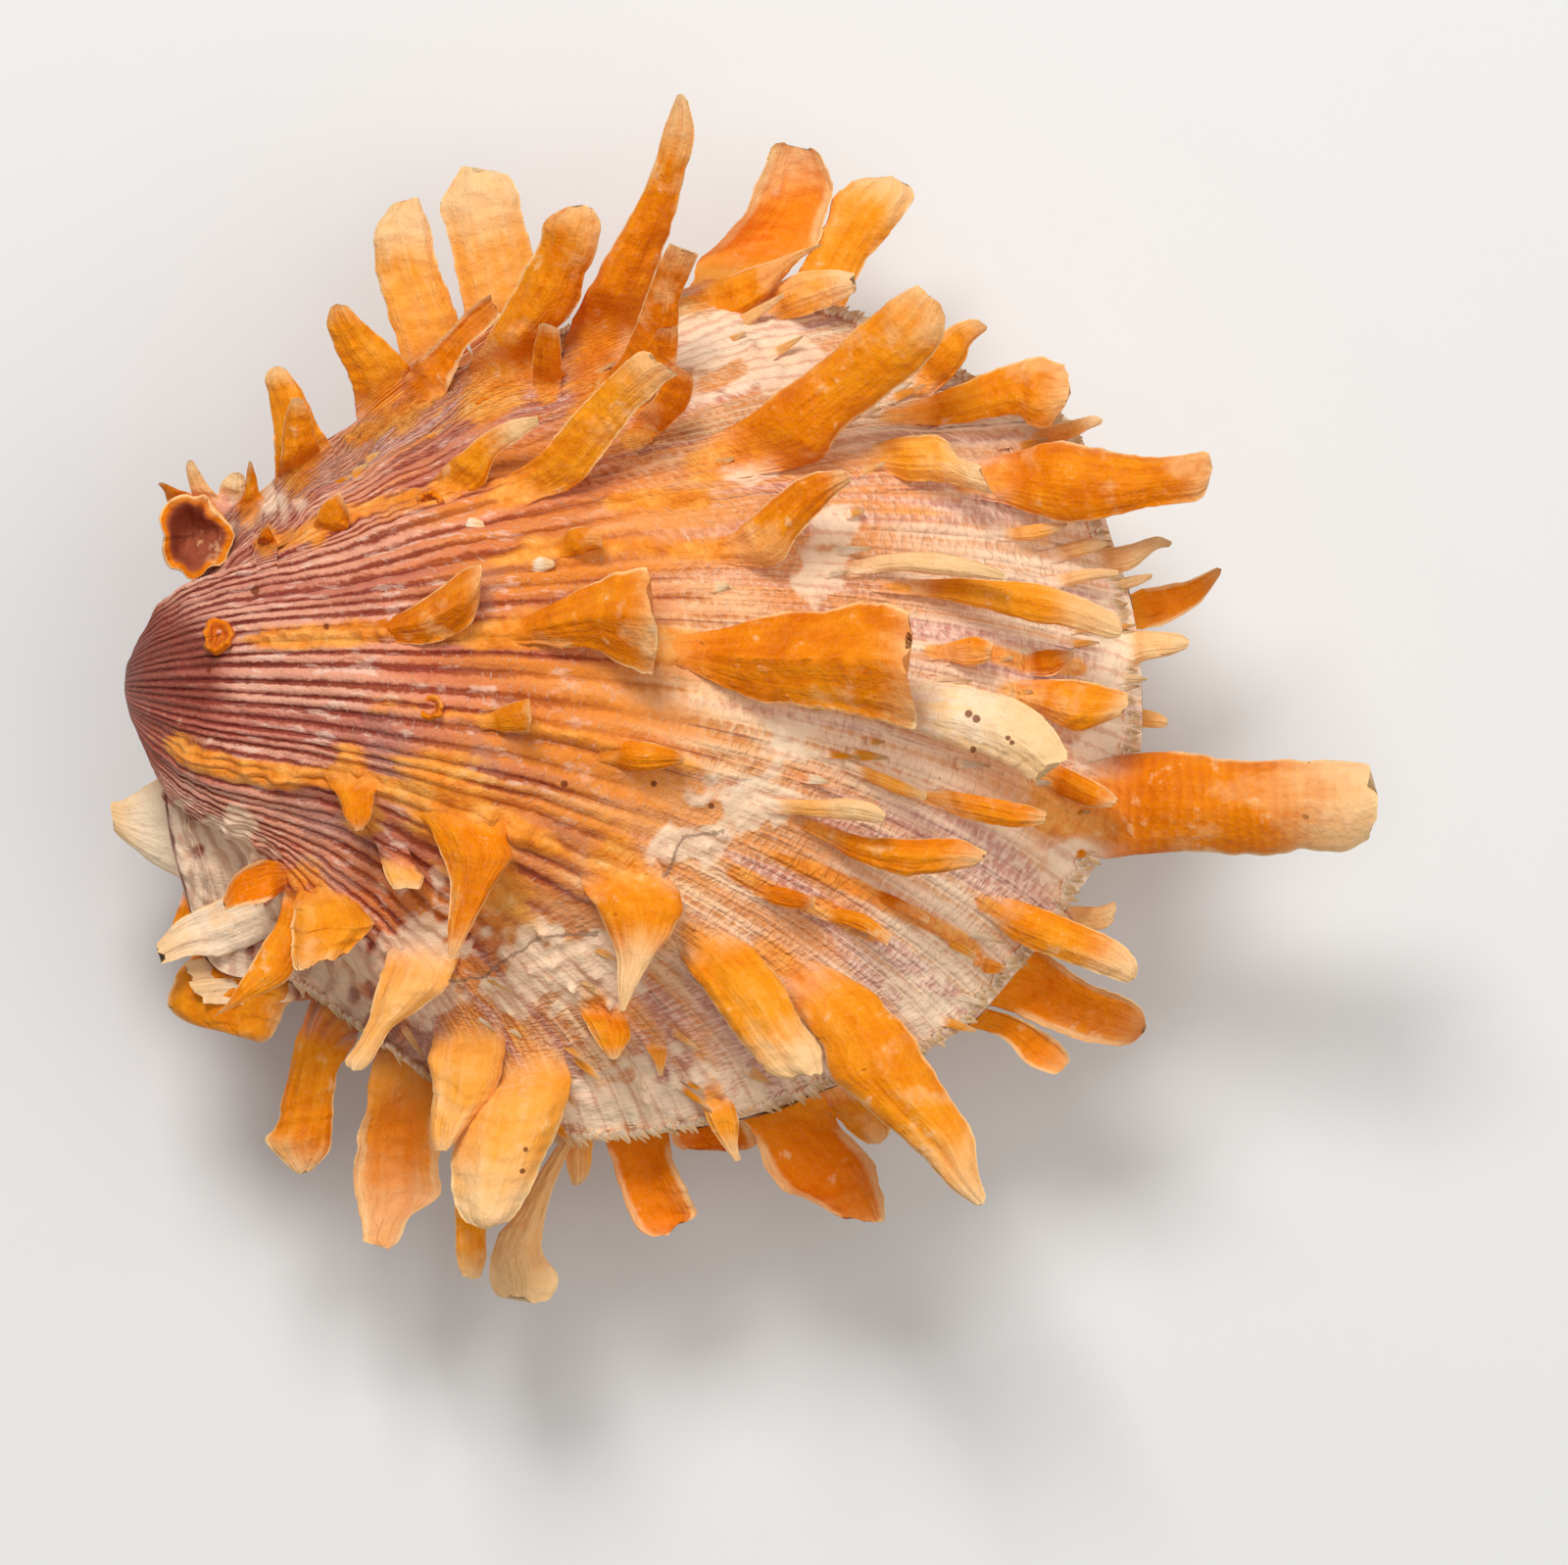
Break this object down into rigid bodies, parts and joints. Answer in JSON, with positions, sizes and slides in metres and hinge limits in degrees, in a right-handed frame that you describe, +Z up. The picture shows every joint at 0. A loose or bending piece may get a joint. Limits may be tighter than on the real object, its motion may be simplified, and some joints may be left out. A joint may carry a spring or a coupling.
{
  "type": "thorny oyster shell",
  "caption": "Closed pair of thorny oyster valves with ribs, scoop-shaped spines and thorns, resting on the flat scar of the lower valve; a natural display piece",
  "frame": {"origin": "middle of the flat scar under the lower valve, on the surface the shell rests on", "axes": "+X from the beaks to the free edge, +Y to the shell's front ear side, +Z up through the upper valve"},
  "size_m": [0.1305, 0.1249, 0.063],
  "materials": {
    "upper_valve": "satin shell, rose purple at the beak, peach and cream ribs, orange spines with cream tips",
    "lower_valve": "satin shell, cream and peach, orange spines with cream tips, chalky scar underneath"
  },
  "bodies": {
    "root": {"upper_valve": "upper_valve", "lower_valve": "lower_valve"}
  },
  "joints": []
}
